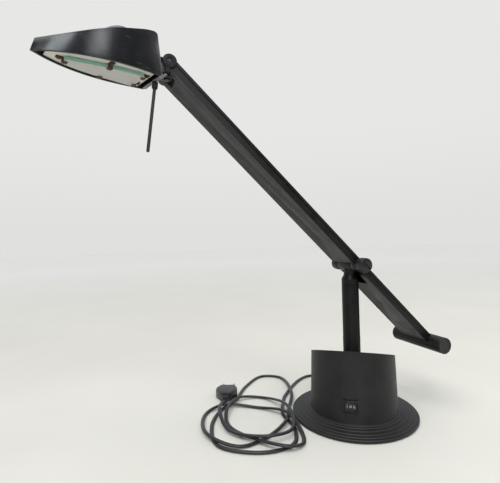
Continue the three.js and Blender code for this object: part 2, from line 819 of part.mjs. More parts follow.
function reflector() {
  const sheet = headBody(shellWall + gap + 0.2, panelLow, panelHigh);
  const flange = sheet.intersect(block(-panelFront, -panelRear, -past, past, 0, 10));
  const outside = troughBody(-panelSheet, panelLow + 0.2, troughHeight + panelSheet);
  const inside = troughBody(0, panelLow - 1, troughHeight);
  return shift(flange.add(outside).subtract(inside), 0, 0, -headDrop);
}

// glass plate under the panel
const glassRear = 38;
const glassFront = 121;
const glassHalfRear = 17;
const glassHalfFront = 6.5;
const glassHalfMiddle = 13.9;
const glassCorner = 2.5;
const glassTop = panelLow - gap - 0.1;
const glassBottom = glassTop - glassThickness;

function glassPlate() {
  const right = [[glassRear, glassHalfRear - glassCorner], [glassRear + glassCorner, glassHalfRear],
    [(glassRear + glassFront) / 2, glassHalfMiddle], [glassFront - glassCorner, glassHalfFront],
    [glassFront, glassHalfFront - glassCorner]];
  const outline = [...right.map(([t, w]) => at(t, w)), ...right.reverse().map(([t, w]) => at(t, -w))];
  return plate(outline, glassBottom - headDrop, glassTop - headDrop);
}

// A bent clip: a foot screwed to the panel and a finger under the glass. The finger points along +X
// before turning.
function glassClip(t, w, angle) {
  const half = 2.6;
  const top = panelLow - gap;
  const sheet = 0.8;
  const footLength = 5.5;
  const fingerTop = glassBottom - gap;
  const screwHeadTop = top - sheet;
  const body = block(-footLength, 1.2, -half, half, top - sheet, top)
    .add(block(0.4, 1.2, -half, half, fingerTop - sheet, top))
    .add(block(0.4, 5.2, -half, half, fingerTop - sheet, fingerTop))
    .add(shift(rod(2, screwHeadTop - 1.3, screwHeadTop + 0.2, smallSides), -half, 0, 0));
  return shift(place(body, turn("z", angle)), -t, -w, -headDrop);
}

// distance in front of the pivot, distance towards the near side, and the way the finger points
const clips = [
  [glassFront + 1.5, 0, 0],
  [78, 16.4, 98 * deg],
  [78, -16.4, -98 * deg],
  [glassRear - 1.7, 12, 180 * deg],
  [glassRear - 1.7, -12, 180 * deg],
];

// lamp and holder inside the trough
const lampHeight = 9.8;
const holderFront = 52;

function lampHolder() {
  const body = block(-holderFront, -troughRear - 4.5, -5, 5, lampHeight - 4.6, lampHeight + 4.4);
  const socket = block(-holderFront - 1, -holderFront + 2, -3, 3, lampHeight - 2.2, lampHeight + 2.2);
  return shift(body.subtract(socket), 0, 0, -headDrop);
}

function halogenLamp() {
  const capsule = turned([[0, 0], [2.2, 0], [2.2, 4], [4, 6], [4.2, 20], [2.6, 24], [0, 26]], smallSides);
  return shift(place(capsule, turn("y", -Math.PI / 2)), -holderFront + 0.9, 0, lampHeight - headDrop);
}

// A U of flat steel: a tab above and below the barrel, joined by a web inside the shell's rear wall.
function headYoke() {
  const plateFront = headRear + 5.6;
  const tab = (z0, z1) =>
    rod(yokeHalf, z0, z1, roundSides).add(block(-plateFront, 0, -yokeHalf, yokeHalf, z0, z1));
  const web = block(-plateFront - 1.8, -plateFront, -yokeHalf - 3, yokeHalf + 3, -yokeHigh, yokeHigh);
  return tab(yokeLow, yokeHigh)
    .add(tab(-yokeHigh, -yokeLow))
    .add(web)
    .subtract(rod(swivelPinRadius + gap, -past, past, smallSides));
}

// thin steel strip under the rear edge that carries the handle
const stripLow = -1.5;
const stripHigh = -gap;
const handleAt = 22;
const handleSide = 10;
const handleLean = 9.2 * deg;
const collarLength = 9;

function rearStrip() {
  const strip = block(-24.3, -19.4, -33, 18.5, stripLow, stripHigh);
  const notch = block(-26, -22.6, -34, -29.5, -3, 1);
  const hole = shift(rod(1.5, -5, 5, tinySides), -handleAt, -handleSide, 0);
  return shift(strip.subtract(notch).subtract(hole), 0, 0, -headDrop);
}

const handleFrame = new THREE.Matrix4()
  .makeTranslation(-handleAt, -handleSide, stripLow - gap - headDrop)
  .multiply(turn("y", handleLean));

function handleCollar() {
  const collar = turned(
    [[rodRadius + gap, -collarLength], [3.1, -collarLength], [3.5, -collarLength + 1], [3.5, -1.4],
      [rodRadius + gap, -1.4]],
    smallSides,
  );
  return place(collar, handleFrame);
}

function handleRod() {
  return place(rod(rodRadius, -rodLength, -0.8, smallSides), handleFrame);
}

add(head, "swivel_pin_upper", swivelPin(1), steel);
add(head, "swivel_pin_lower", swivelPin(-1), steel);
add(head, "head_yoke", headYoke(), steel);
add(head, "head_shell", headShell(), glossBlack);
add(head, "vent_cap", ventCap(), greyPlastic);
add(head, "reflector_panel", reflector(), whiteEnamel);
add(head, "glass_plate", glassPlate(), glassGreen);
clips.forEach(([t, w, angle], i) => add(head, `glass_clip_${i + 1}`, glassClip(t, w, angle), rustySteel));
add(head, "lamp_holder", lampHolder(), ceramic);
add(head, "halogen_lamp", halogenLamp(), glassGreen);
add(head, "rear_strip", rearStrip(), greyPlastic);
add(head, "handle_collar", handleCollar(), blackPlastic);
add(head, "handle_rod", handleRod(), blackPaint);

// ---------- plug and lead ----------
const plugAngle = 66 * deg;
const plugRear = new THREE.Vector3(-169, 105, plugHeight / 2 + 0.2);
const plug = new THREE.Group();
plug.position.copy(plugRear);
plug.rotation.z = plugAngle;
lamp.add(plug);

const plugNeck = 9.5; // length and half height of the thinner rear, where the lead goes in
const plugNeckHalf = 4.2;
const pinSunk = 5;

function plugBody() {
  const half = plugWidth / 2;
  const edge = [[0, 3.6], [8, 4.6], [12, 8.5], [24, half - 0.6], [30, half], [35, half - 0.6],
    [plugLength, 11.6]];
  const outline = [...edge, ...edge.map(([x, y]) => [x, -y]).reverse()];
  let body = plate(outline, -plugHeight / 2, plugHeight / 2)
    .subtract(block(-1, plugNeck, -past, past, plugNeckHalf, past))
    .subtract(block(-1, plugNeck, -past, past, -past, -plugNeckHalf));
  for (const y of [-pinPitch / 2, pinPitch / 2]) {
    const bore = place(rod(pinRadius + gap, 0, past, smallSides), turn("y", Math.PI / 2));
    body = body.subtract(shift(bore, plugLength - pinSunk - 1, y, 0));
  }
  return body;
}

function plugPin(y) {
  const length = pinLength + pinSunk;
  const pin = turned(
    [[0, 0], [pinRadius, 0], [pinRadius, length - 2], [pinRadius - 0.8, length], [0, length]],
    smallSides,
  );
  return shift(place(pin, turn("y", Math.PI / 2)), plugLength - pinSunk, y, 0);
}

add(plug, "plug_body", plugBody(), blackPlastic);
add(plug, "plug_pin_1", plugPin(-pinPitch / 2), steel);
add(plug, "plug_pin_2", plugPin(pinPitch / 2), steel);

// The lead's centre line: out of the strain relief, round the back of the base and in loose loops beside
// it to the plug. Where it crosses itself one stretch rides over the other.
const leadRoute = [
  [57.3, 72, 16.8], [70, 110, 4.1], [8, 152, 2.3], [-66, 94, 2], [-84, 67, 2], [-101, 31, 2],
  [-103, -7, 2], [-123, -46, 2], [-163, -49, 2], [-211, -14, 2], [-208, 36, 2], [-186, 77, 2],
  [-147, 111, 2], [-115, 154, 2], [-71, 188, 2], [-43, 169, 2.2], [-60, 85, 5.9], [-83, 48, 2.2],
  [-107, 7, 5.9], [-143, -16, 2.4], [-188, -25, 2.6], [-220, 14, 6.5], [-203, 83, 2], [-173, 93, 5.3],
  [-127, 69, 2], [-99, 23, 8.8], [-110, -48, 2.1], [-135, -56, 7], [-178, 5, 3.2], [-184, 42, 2.4],
  [-174, 72, 8.6], [-143, 107, 5.9], [-108, 101, 2], [-92, 39, 12.5], [-113, -23, 8.7], [-150, -30, 10.1],
  [-189, 12, 5.4], [-188, 66, 12.4], [-169.1, 104.7, 7],
];
const leadSteps = 80;
const leadSides = 8;

function mainsLead() {
  const section = new THREE.Shape();
  for (let i = 0; i < leadSides; i++) {
    const angle = ((i + 0.5) / leadSides) * 2 * Math.PI;
    const corner = { x: (Math.cos(angle) * cordThickness) / 2, y: (Math.sin(angle) * cordWidth) / 2 };
    if (i === 0) section.moveTo(corner.x, corner.y);
    else section.lineTo(corner.x, corner.y);
  }
  const path = new THREE.CatmullRomCurve3(leadRoute.map((point) => new THREE.Vector3(...point)));
  return new THREE.ExtrudeGeometry(section, { steps: leadSteps, bevelEnabled: false, extrudePath: path });
}

const lead = new THREE.Mesh(mainsLead(), rubber);
lead.name = "mains_cord";
lamp.add(lead);

export default lamp;
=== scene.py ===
# %% [markdown]
# # A black desk lamp, built round its CAD frame
# The frame already fixes every size, place and joint. This lesson adds what the eye sees: soft edges,
# paint, worn plastic, glass and the loose lead. Lengths are typed in millimetres and turned into metres.

# %% Load the frame
import json
import math

import bpy
from mathutils import Matrix, Vector


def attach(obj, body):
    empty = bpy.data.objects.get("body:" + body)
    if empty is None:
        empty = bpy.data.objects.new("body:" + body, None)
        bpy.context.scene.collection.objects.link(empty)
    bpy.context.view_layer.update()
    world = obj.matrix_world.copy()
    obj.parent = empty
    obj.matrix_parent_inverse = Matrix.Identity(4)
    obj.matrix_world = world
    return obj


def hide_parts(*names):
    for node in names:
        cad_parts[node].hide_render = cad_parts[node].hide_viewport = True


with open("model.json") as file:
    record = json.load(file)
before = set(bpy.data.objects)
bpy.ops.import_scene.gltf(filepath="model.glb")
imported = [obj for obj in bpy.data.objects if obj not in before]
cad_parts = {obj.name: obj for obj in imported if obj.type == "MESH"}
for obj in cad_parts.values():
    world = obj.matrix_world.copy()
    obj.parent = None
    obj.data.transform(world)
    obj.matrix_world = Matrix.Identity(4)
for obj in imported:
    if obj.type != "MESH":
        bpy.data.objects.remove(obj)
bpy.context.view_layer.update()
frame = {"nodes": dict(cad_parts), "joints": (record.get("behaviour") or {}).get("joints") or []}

MM = 0.001

# %% [markdown]
# ## Local frames
# A tilted arm is easier to model lying flat. So each group of pieces has a matrix that says where its own
# flat space sits in the lamp, and a piece is modelled in that space and then placed. The post stands at
# the origin and needs none.

# %% Where the base, arm, head and plug sit
hinge = {joint["name"]: Vector(joint["pos_m"]) for joint in frame["joints"]}
BASE = Matrix.Rotation(math.radians(-38.5), 4, "Z")
ARM = Matrix.Translation(hinge["arm_tilt"]) @ Matrix.Rotation(math.radians(44.24), 4, "Y")
HEAD_MOUNT = Matrix.Translation(hinge["head_tilt"]) @ Matrix.Rotation(math.radians(-0.67), 4, "Y")
HEAD = HEAD_MOUNT @ Matrix.Rotation(math.radians(22.36), 4, "Z") @ Matrix.Translation((0, 0, -20.5 * MM))
PLUG = Matrix.Translation((-0.169, 0.105, 0.007)) @ Matrix.Rotation(math.radians(66), 4, "Z")
print("head pivot at", hinge["head_tilt"])

# %% [markdown]
# ## The camera
# A camera is a matrix too: its columns are its right, its up and the way backwards. The view is low, a
# little below the arm's pivot, from the knob's side, with a wide lens and a slight roll.

# %% Camera
eye = Vector((-0.3332, -0.4731, 0.2615))
ahead = Vector((0.3498, 0.9368, -0.0062)).normalized()
right = ahead.cross(Vector((0, 0, 1))).normalized()
up = right.cross(ahead)
roll = -0.0302
camera_right = math.cos(roll) * right + math.sin(roll) * up
camera_up = math.cos(roll) * up - math.sin(roll) * right

camera_data = bpy.data.cameras.new("camera")
camera_data.lens = 27.15
camera_data.sensor_width = 36
camera_data.clip_start = 0.01
camera = bpy.data.objects.new("camera", camera_data)
bpy.context.collection.objects.link(camera)
turned = Matrix((camera_right, camera_up, -ahead)).transposed().to_4x4()
camera.matrix_world = Matrix.Translation(eye) @ turned
bpy.context.scene.camera = camera
print("camera at", eye)

# %% [markdown]
# ## Tools used again and again
# Blender's operators act on whatever is selected, and loading the frame leaves its nodes selected. Each
# tool here therefore clears the selection first and picks only the piece in hand.


# %% Select one piece
def pick(piece=None):
    if bpy.context.object and bpy.context.object.mode != "OBJECT":
        bpy.ops.object.mode_set(mode="OBJECT")
    bpy.ops.object.select_all(action="DESELECT")
    if piece:
        piece.select_set(True)
        bpy.context.view_layer.objects.active = piece


# %% [markdown]
# Most small parts of a lamp come off a lathe. Their outline is drawn by extruding one vertex from point to
# point, and `spin` sweeps it round the axis. The doubled seam is merged and the faces are turned outwards.


# %% Draw a line of vertices, and spin it
def draw(name, points):
    pick()
    bpy.ops.mesh.primitive_plane_add(size=2 * MM, location=(0, 0, 0))
    piece = bpy.context.object
    piece.name = piece.data.name = name
    bpy.ops.object.mode_set(mode="EDIT")
    bpy.ops.mesh.merge(type="CENTER")
    spots = [Vector(p) * MM for p in points]
    bpy.ops.transform.translate(value=spots[0])
    for last, spot in zip(spots, spots[1:]):
        bpy.ops.mesh.extrude_vertices_move(TRANSFORM_OT_translate={"value": spot - last})
    return piece


def tidy_faces():
    bpy.ops.mesh.select_all(action="SELECT")
    bpy.ops.mesh.remove_doubles(threshold=1e-6)
    bpy.ops.mesh.normals_make_consistent(inside=False)
    bpy.ops.object.mode_set(mode="OBJECT")


def spun(name, outline, axis="Z", steps=72):
    along_z = axis == "Z"
    piece = draw(name, [(r, 0, h) if along_z else (r, h, 0) for r, h in outline])
    bpy.ops.mesh.select_all(action="SELECT")
    direction = (0, 0, 1) if along_z else (0, 1, 0)
    bpy.ops.mesh.spin(steps=steps, angle=2 * math.pi, center=(0, 0, 0), axis=direction)
    tidy_faces()
    return piece


# %% [markdown]
# No real edge is perfectly sharp: a small bevel catches a line of light along it. Each modifier is applied
# at once, so that the mesh which is seen is the mesh which is kept.


# %% Apply a modifier, soften edges, cut
def applied(piece, kind, **settings):
    pick(piece)
    modifier = piece.modifiers.new(kind.lower(), kind)
    for name, value in settings.items():
        setattr(modifier, name, value)
    bpy.ops.object.modifier_apply(modifier=modifier.name)
    return piece


def rounded(piece, width, segments=2, angle=30):
    return applied(piece, "BEVEL", width=width * MM, segments=segments,
                   limit_method="ANGLE", angle_limit=math.radians(angle))


def cut(piece, cutter):
    applied(piece, "BOOLEAN", operation="DIFFERENCE", solver="EXACT", object=cutter)
    bpy.data.objects.remove(cutter, do_unlink=True)


def block(name, low, high):
    pick()
    low, high = Vector(low) * MM, Vector(high) * MM
    bpy.ops.mesh.primitive_cube_add(size=1, location=(low + high) / 2, scale=high - low)
    piece = bpy.context.object
    piece.name = piece.data.name = name
    bpy.ops.object.transform_apply(location=True, rotation=True, scale=True)
    return piece


# %% [markdown]
# In edit mode the vertices or faces to work on are picked in code, by where they are or which way they
# face. What was selected before is let go of first.


# %% Pick vertices or faces
def choose(piece, test, kind="VERT"):
    pick(piece)
    bpy.ops.object.mode_set(mode="EDIT")
    bpy.ops.mesh.select_mode(type=kind)
    bpy.ops.mesh.select_all(action="DESELECT")
    bpy.ops.object.mode_set(mode="OBJECT")
    parts = piece.data.vertices if kind == "VERT" else piece.data.polygons
    for part in parts:
        part.select = test(part)
    bpy.ops.object.mode_set(mode="EDIT")


# %% [markdown]
# A CAD node is loose triangles. Where its shape is already right, a copy of it is merged, flat faces are
# joined again, and its edges are softened. The node itself stays as it is, for the physics.


# %% Copy a CAD node and soften it
def softened(node, width, segments=2, angle=35):
    pick()
    mesh = frame["nodes"][node].data.copy()
    piece = bpy.data.objects.new(f"{node}_soft", mesh)
    mesh.name = piece.name
    bpy.context.collection.objects.link(piece)
    pick(piece)
    bpy.ops.object.mode_set(mode="EDIT")
    bpy.ops.mesh.select_all(action="SELECT")
    bpy.ops.mesh.remove_doubles(threshold=2e-6)
    bpy.ops.mesh.dissolve_limited(angle_limit=math.radians(0.5))
    bpy.ops.object.mode_set(mode="OBJECT")
    if width:
        rounded(piece, width, segments, angle)
    return piece


# %% [markdown]
# At the end of each piece come its place, its smooth shading, its finish, and two words to the frame:
# which body carries it and which nodes it stands for.

# %% Place a piece and hand it over
made = []


def placed(piece, matrix):
    pick(piece)
    piece.matrix_world = matrix
    bpy.ops.object.transform_apply(location=True, rotation=True, scale=True)
    return piece


def hand_over(piece, body, nodes, look, smooth=40):
    pick(piece)
    bpy.ops.object.shade_smooth_by_angle(angle=math.radians(smooth))
    piece.data.materials.clear()
    piece.data.materials.append(look)
    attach(piece, body)
    if nodes:
        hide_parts(*nodes)
    made.append(piece)
    print(piece.name, "on", body, "with", len(piece.data.polygons), "faces")


# %% [markdown]
# ## Finishes
# A finish is a small network of nodes. Two helpers keep such a network short: one adds a node and sets its
# values by name, and one lays a second colour over the base colour, by a share between 0 and 1.


# %% Add a node, lay a colour over the base
def add_node(tree, kind, **settings):
    new = tree.nodes.new(f"ShaderNode{kind}")
    for name, value in settings.items():
        socket = new.inputs.get(name.replace("_", " ").title())
        if socket:
            socket.default_value = value
        else:
            setattr(new, name, value)
    return new


COLOUR_BELOW, COLOUR_ABOVE, COLOUR_OUT = 6, 7, 2
NUMBER_BELOW, NUMBER_ABOVE, NUMBER_OUT = 2, 3, 0


def lay_over(tree, share, colour):
    base = tree.nodes["Principled BSDF"].inputs["Base Color"]
    layer = add_node(tree, "Mix", data_type="RGBA")
    layer.inputs[COLOUR_ABOVE].default_value = (*colour, 1)
    tree.links.new(share, layer.inputs[0])
    tree.links.new(base.links[0].from_socket, layer.inputs[COLOUR_BELOW])
    tree.links.new(layer.outputs[COLOUR_OUT], base)


# %% [markdown]
# Every finish starts from the same idea: nothing is one flat colour. A slow noise moves the colour and the
# gloss a little, and a fine noise gives the surface its grain. The noise is read in object coordinates, so
# it keeps its true size in millimetres on every piece.


# %% A finish whose colour, gloss and grain wander
def finish(name, dark, light, patch=40, gloss=(0.35, 0.5), grain=1500, relief=0.05, metallic=0.0,
           mirror=0.5):
    material = bpy.data.materials.new(name)
    material.use_nodes = True
    tree = material.node_tree
    shader = tree.nodes["Principled BSDF"]
    shader.inputs["Metallic"].default_value = metallic
    shader.inputs["Specular IOR Level"].default_value = mirror
    where = add_node(tree, "TexCoord")
    slow = add_node(tree, "TexNoise", scale=patch, detail=5, roughness=0.6)
    ramp = add_node(tree, "ValToRGB")
    for stop, position, colour in zip(ramp.color_ramp.elements, (0.32, 0.68), (dark, light)):
        stop.position = position
        stop.color = (*colour, 1)
    shine = add_node(tree, "MapRange", from_min=0.3, from_max=0.7, to_min=gloss[0], to_max=gloss[1])
    fine = add_node(tree, "TexNoise", scale=grain, detail=2)
    bump = add_node(tree, "Bump", strength=relief, distance=0.0002)
    link = tree.links.new
    link(where.outputs["Object"], slow.inputs["Vector"])
    link(where.outputs["Object"], fine.inputs["Vector"])
    link(slow.outputs["Fac"], ramp.inputs["Fac"])
    link(slow.outputs["Fac"], shine.inputs["Value"])
    link(ramp.outputs["Color"], shader.inputs["Base Color"])
    link(shine.outputs["Result"], shader.inputs["Roughness"])
    link(fine.outputs["Fac"], bump.inputs["Height"])
    link(bump.outputs["Normal"], shader.inputs["Normal"])
    return material


# %% [markdown]
# Dust settles on what faces up. The object's own normal says which faces those are, and a broken noise
# keeps the layer patchy. The dust is paler and duller than what it lies on, so it goes into both the
# colour and the roughness.


# %% Lay dust on the faces that look up
def dusty(material, colour, amount):
    tree = material.node_tree
    gloss = tree.nodes["Principled BSDF"].inputs["Roughness"]
    where = add_node(tree, "TexCoord")
    split = add_node(tree, "SeparateXYZ")
    upward = add_node(tree, "MapRange", from_min=0.4, from_max=0.95, to_max=amount)
    broken = add_node(tree, "TexNoise", scale=70, detail=8)
    share = add_node(tree, "Math", operation="MULTIPLY")
    dull = add_node(tree, "Mix")
    dull.inputs[NUMBER_ABOVE].default_value = 0.85
    link = tree.links.new
    link(where.outputs["Normal"], split.inputs["Vector"])
    link(where.outputs["Object"], broken.inputs["Vector"])
    link(split.outputs["Z"], upward.inputs["Value"])
    link(upward.outputs["Result"], share.inputs[0])
    link(broken.outputs["Fac"], share.inputs[1])
    link(share.outputs["Value"], dull.inputs[0])
    link(gloss.links[0].from_socket, dull.inputs[NUMBER_BELOW])
    link(dull.outputs[NUMBER_OUT], gloss)
    lay_over(tree, share.outputs["Value"], colour)


# %% [markdown]
# Handling leaves rubs: short pale streaks, all roughly one way. A noise that is squeezed hard in one
# direction makes streaks, and a steep ramp keeps only its highest few.


# %% Rub pale streaks into a finish
def rubbed(material, colour, squeeze=(400, 400, 25), amount=0.3, threshold=0.66):
    tree = material.node_tree
    where = add_node(tree, "TexCoord")
    squash = add_node(tree, "Mapping", scale=squeeze)
    streak = add_node(tree, "TexNoise", scale=1, detail=3)
    keep = add_node(tree, "MapRange", from_min=threshold, from_max=threshold + 0.08, to_max=amount)
    link = tree.links.new
    link(where.outputs["Object"], squash.inputs["Vector"])
    link(squash.outputs["Vector"], streak.inputs["Vector"])
    link(streak.outputs["Fac"], keep.inputs["Value"])
    lay_over(tree, keep.outputs["Result"], colour)


# %% [markdown]
# The lamp is black nearly everywhere, but not in one black: satin paint on the metal, grained moulding on
# the base, a smoother and glossier moulding on the head, shiny PVC on the lead, dull rubber underneath.
# Their gloss tells them apart more than their colour. The blacks are kept very deep, because what lightens
# them is what they mirror.

# %% The large blacks
satin_paint = finish("satin_black_paint", (0.0045, 0.0042, 0.0042), (0.0095, 0.009, 0.0086), patch=45,
                     gloss=(0.36, 0.5), grain=1400, relief=0.08, mirror=0.25)
rubbed(satin_paint, colour=(0.08, 0.08, 0.08), amount=0.25)
dusty(satin_paint, colour=(0.1, 0.098, 0.092), amount=0.25)

grained_moulding = finish("grained_black_moulding", (0.007, 0.0068, 0.007), (0.014, 0.0136, 0.014),
                          patch=30, gloss=(0.42, 0.56), grain=1100, relief=0.16, mirror=0.4)
dusty(grained_moulding, colour=(0.05, 0.049, 0.047), amount=0.12)

head_moulding = finish("smooth_black_moulding", (0.005, 0.005, 0.0065), (0.012, 0.012, 0.0145), patch=26,
                       gloss=(0.16, 0.27), grain=600, relief=0.035)
rubbed(head_moulding, colour=(0.06, 0.06, 0.066), squeeze=(60, 60, 320), threshold=0.63)
dusty(head_moulding, colour=(0.1, 0.098, 0.095), amount=0.35)
print("blacks for the arm, the base and the head")

# %% The small blacks
lead_skin = finish("black_lead_skin", (0.008, 0.008, 0.009), (0.015, 0.015, 0.016), patch=60,
                   gloss=(0.26, 0.4), grain=700, relief=0.06)
dull_rubber = finish("dull_black_rubber", (0.02, 0.02, 0.021), (0.035, 0.034, 0.033), patch=80,
                     gloss=(0.7, 0.85), grain=1800, relief=0.2)
small_moulding = finish("small_black_moulding", (0.009, 0.009, 0.0095), (0.018, 0.018, 0.0185), patch=120,
                        gloss=(0.34, 0.46), grain=1600, relief=0.08, mirror=0.4)
plug_moulding = finish("plug_moulding", (0.016, 0.016, 0.018), (0.028, 0.028, 0.031), patch=120,
                       gloss=(0.3, 0.42), grain=1300, relief=0.1)
rocker_black = finish("rocker_black", (0.008, 0.008, 0.008), (0.014, 0.014, 0.014), patch=200,
                      gloss=(0.16, 0.26), grain=1500, relief=0.03)
blackened_steel = finish("blackened_steel", (0.016, 0.016, 0.017), (0.03, 0.03, 0.032), patch=150,
                         gloss=(0.38, 0.52), grain=1800, relief=0.06, metallic=0.3)
handle_black = finish("handle_brown_black", (0.014, 0.009, 0.0095), (0.032, 0.02, 0.021), patch=110,
                      gloss=(0.4, 0.58), grain=900, relief=0.15)
rubbed(handle_black, colour=(0.16, 0.13, 0.13), squeeze=(500, 500, 60), threshold=0.62)
print("blacks for the small parts")

# %% [markdown]
# The rest is bare metal, enamel, china and glass, and the rear strip's grey, which is a painted reflection
# of the bright table on its black underside. The clips that hold the glass sit right by a hot bulb: their
# spring steel has gone brown, with rust in darker spots.

# %% Metals, enamel, china
plain_steel = finish("plain_steel", (0.42, 0.42, 0.43), (0.58, 0.58, 0.59), patch=150,
                     gloss=(0.28, 0.45), grain=2500, relief=0.05, metallic=1.0)
cast_iron = finish("cast_iron", (0.05, 0.05, 0.053), (0.12, 0.12, 0.125), patch=90,
                   gloss=(0.6, 0.8), grain=500, relief=0.5, metallic=0.6)
copper_wire = finish("lacquered_copper", (0.36, 0.13, 0.05), (0.55, 0.24, 0.11), patch=300,
                     gloss=(0.25, 0.4), grain=1500, relief=0.1, metallic=1.0)
china = finish("white_china", (0.6, 0.57, 0.5), (0.74, 0.72, 0.66), patch=120,
               gloss=(0.3, 0.5), grain=900, relief=0.05)
grey_nylon = finish("grey_nylon", (0.25, 0.25, 0.25), (0.33, 0.33, 0.33), patch=150,
                    gloss=(0.4, 0.55), grain=1200, relief=0.06)
rusty_steel = finish("rusty_spring_steel", (0.03, 0.016, 0.011), (0.13, 0.062, 0.038), patch=420,
                     gloss=(0.5, 0.8), grain=2200, relief=0.5, metallic=0.45)
grey_enamel = finish("warm_grey_enamel", (0.5, 0.49, 0.45), (0.6, 0.59, 0.55), patch=35,
                     gloss=(0.3, 0.5), grain=700, relief=0.04)
# The rear strip is black: this grey is a painted reflection of the bright table on its underside.
strip_painted_reflection_grey = finish("strip_painted_table_reflection", (0.11, 0.11, 0.105), (0.24, 0.24, 0.23), patch=160,
                    gloss=(0.4, 0.6), grain=1600, relief=0.15, metallic=0.2)
vent_grey = finish("dusty_vent_grey", (0.13, 0.13, 0.13), (0.2, 0.2, 0.195), patch=90,
                   gloss=(0.5, 0.7), grain=900, relief=0.2)
dusty(vent_grey, colour=(0.3, 0.29, 0.27), amount=0.8)
mark_white = finish("mark_white", (0.45, 0.45, 0.44), (0.62, 0.62, 0.6), patch=300, gloss=(0.4, 0.6))
print("ten light and metal finishes")

# %% [markdown]
# Window glass is pale on its face and green along its cut edge, because there the eye looks through its
# whole width. The object's normal tells the faces from the edges, so one material does both. Only part of
# the pane's light passes straight through. The rest shows its pale face, which is painted light: it stands
# in for the reflector panel behind, lit through the glass, which the glass would otherwise leave in shadow.
# A noise varies the pane's haze in its roughness; the bulb is clear quartz.


# %% Glass
def glass(name, face, edge, clear, haze_low, haze_high):
    material = bpy.data.materials.new(name)
    material.use_nodes = True
    tree = material.node_tree
    shader = tree.nodes["Principled BSDF"]
    shader.inputs["Transmission Weight"].default_value = clear
    shader.inputs["IOR"].default_value = 1.45
    where = add_node(tree, "TexCoord")
    split = add_node(tree, "SeparateXYZ")
    size = add_node(tree, "Math", operation="ABSOLUTE")
    ramp = add_node(tree, "ValToRGB")
    for stop, position, colour in zip(ramp.color_ramp.elements, (0.3, 0.85), (edge, face)):
        stop.position = position
        stop.color = (*colour, 1)
    film = add_node(tree, "TexNoise", scale=60)
    haze = add_node(tree, "MapRange", to_min=haze_low, to_max=haze_high)
    link = tree.links.new
    link(where.outputs["Normal"], split.inputs["Vector"])
    link(where.outputs["Object"], film.inputs["Vector"])
    link(split.outputs["Z"], size.inputs[0])
    link(size.outputs["Value"], ramp.inputs["Fac"])
    link(ramp.outputs["Color"], shader.inputs["Base Color"])
    link(film.outputs["Fac"], haze.inputs["Value"])
    link(haze.outputs["Result"], shader.inputs["Roughness"])
    return material


# The pane's pale face is painted light: it stands in for the reflector panel behind, lit through the glass.
pane_glass_painted_panel_light = glass("green_edged_glass", face=(0.66, 0.655, 0.61), edge=(0.33, 0.66, 0.53),
                         clear=0.4, haze_low=0.3, haze_high=0.42)
bulb_glass = glass("bulb_quartz", face=(0.95, 0.95, 0.95), edge=(0.9, 0.9, 0.9),
                   clear=1.0, haze_low=0.02, haze_high=0.14)
print("two glasses")

# %% [markdown]
# ## The mains lead
# A lead is a fixed length of something springy. Its centre line is the frame's own route: out of the
# relief, round the back of the base, and in loose loops to the plug. A smooth line through the points is
# swept by a small section with two round cores side by side, which is what makes this lead flat.

# %% The lead's route, in millimetres
route = [
    (57.3, 72, 16.8), (70, 110, 4.1), (8, 152, 2.3), (-66, 94, 2), (-84, 67, 2), (-101, 31, 2),
    (-103, -7, 2), (-123, -46, 2), (-163, -49, 2), (-211, -14, 2), (-208, 36, 2), (-186, 77, 2),
    (-147, 111, 2), (-115, 154, 2), (-71, 188, 2), (-43, 169, 2.2), (-60, 85, 5.9), (-83, 48, 2.2),
    (-107, 7, 5.9), (-143, -16, 2.4), (-188, -25, 2.6), (-220, 14, 6.5), (-203, 83, 2), (-173, 93, 5.3),
    (-127, 69, 2), (-99, 23, 8.8), (-110, -48, 2.1), (-135, -56, 7), (-178, 5, 3.2), (-184, 42, 2.4),
    (-174, 72, 8.6), (-143, 107, 5.9), (-108, 101, 2), (-92, 39, 12.5), (-113, -23, 8.7), (-150, -30, 10.1),
    (-189, 12, 5.4), (-188, 66, 12.4), (-169.1, 104.7, 7),
]
route = [Vector(point) * MM for point in route]


# %% A smooth line through the route
def smooth_line(points, steps=12):
    ends = [2 * points[0] - points[1], *points, 2 * points[-1] - points[-2]]
    line = []
    for before, a, b, after in zip(ends, ends[1:], ends[2:], ends[3:]):
        first, middle, last = [math.sqrt((q - p).length) for p, q in ((before, a), (a, b), (b, after))]
        leave = ((a - before) / first - (b - before) / (first + middle) + (b - a) / middle) * middle
        arrive = ((b - a) / middle - (after - a) / (middle + last) + (after - b) / last) * middle
        for i in range(steps):
            s = i / steps
            line.append(a + leave * s + (3 * (b - a) - 2 * leave - arrive) * s * s
                        + (2 * (a - b) + leave + arrive) * s * s * s)
    return [*line, points[-1]]


lead_line = smooth_line(route)

# %% [markdown]
# A curve with a bevel object sweeps that object's outline along itself. The section is drawn as a closed
# curve with a waist, the sweep is made a mesh, and the section is thrown away.


# %% Sweep the section along the line
def flat_curve(name, points, closed):
    curve = bpy.data.curves.new(name, "CURVE")
    curve.dimensions = "3D"
    spline = curve.splines.new("POLY")
    spline.points.add(len(points) - 1)
    for spot, point in zip(spline.points, points):
        spot.co = (*point, 1)
    spline.use_cyclic_u = closed
    piece = bpy.data.objects.new(name, curve)
    bpy.context.collection.objects.link(piece)
    return piece


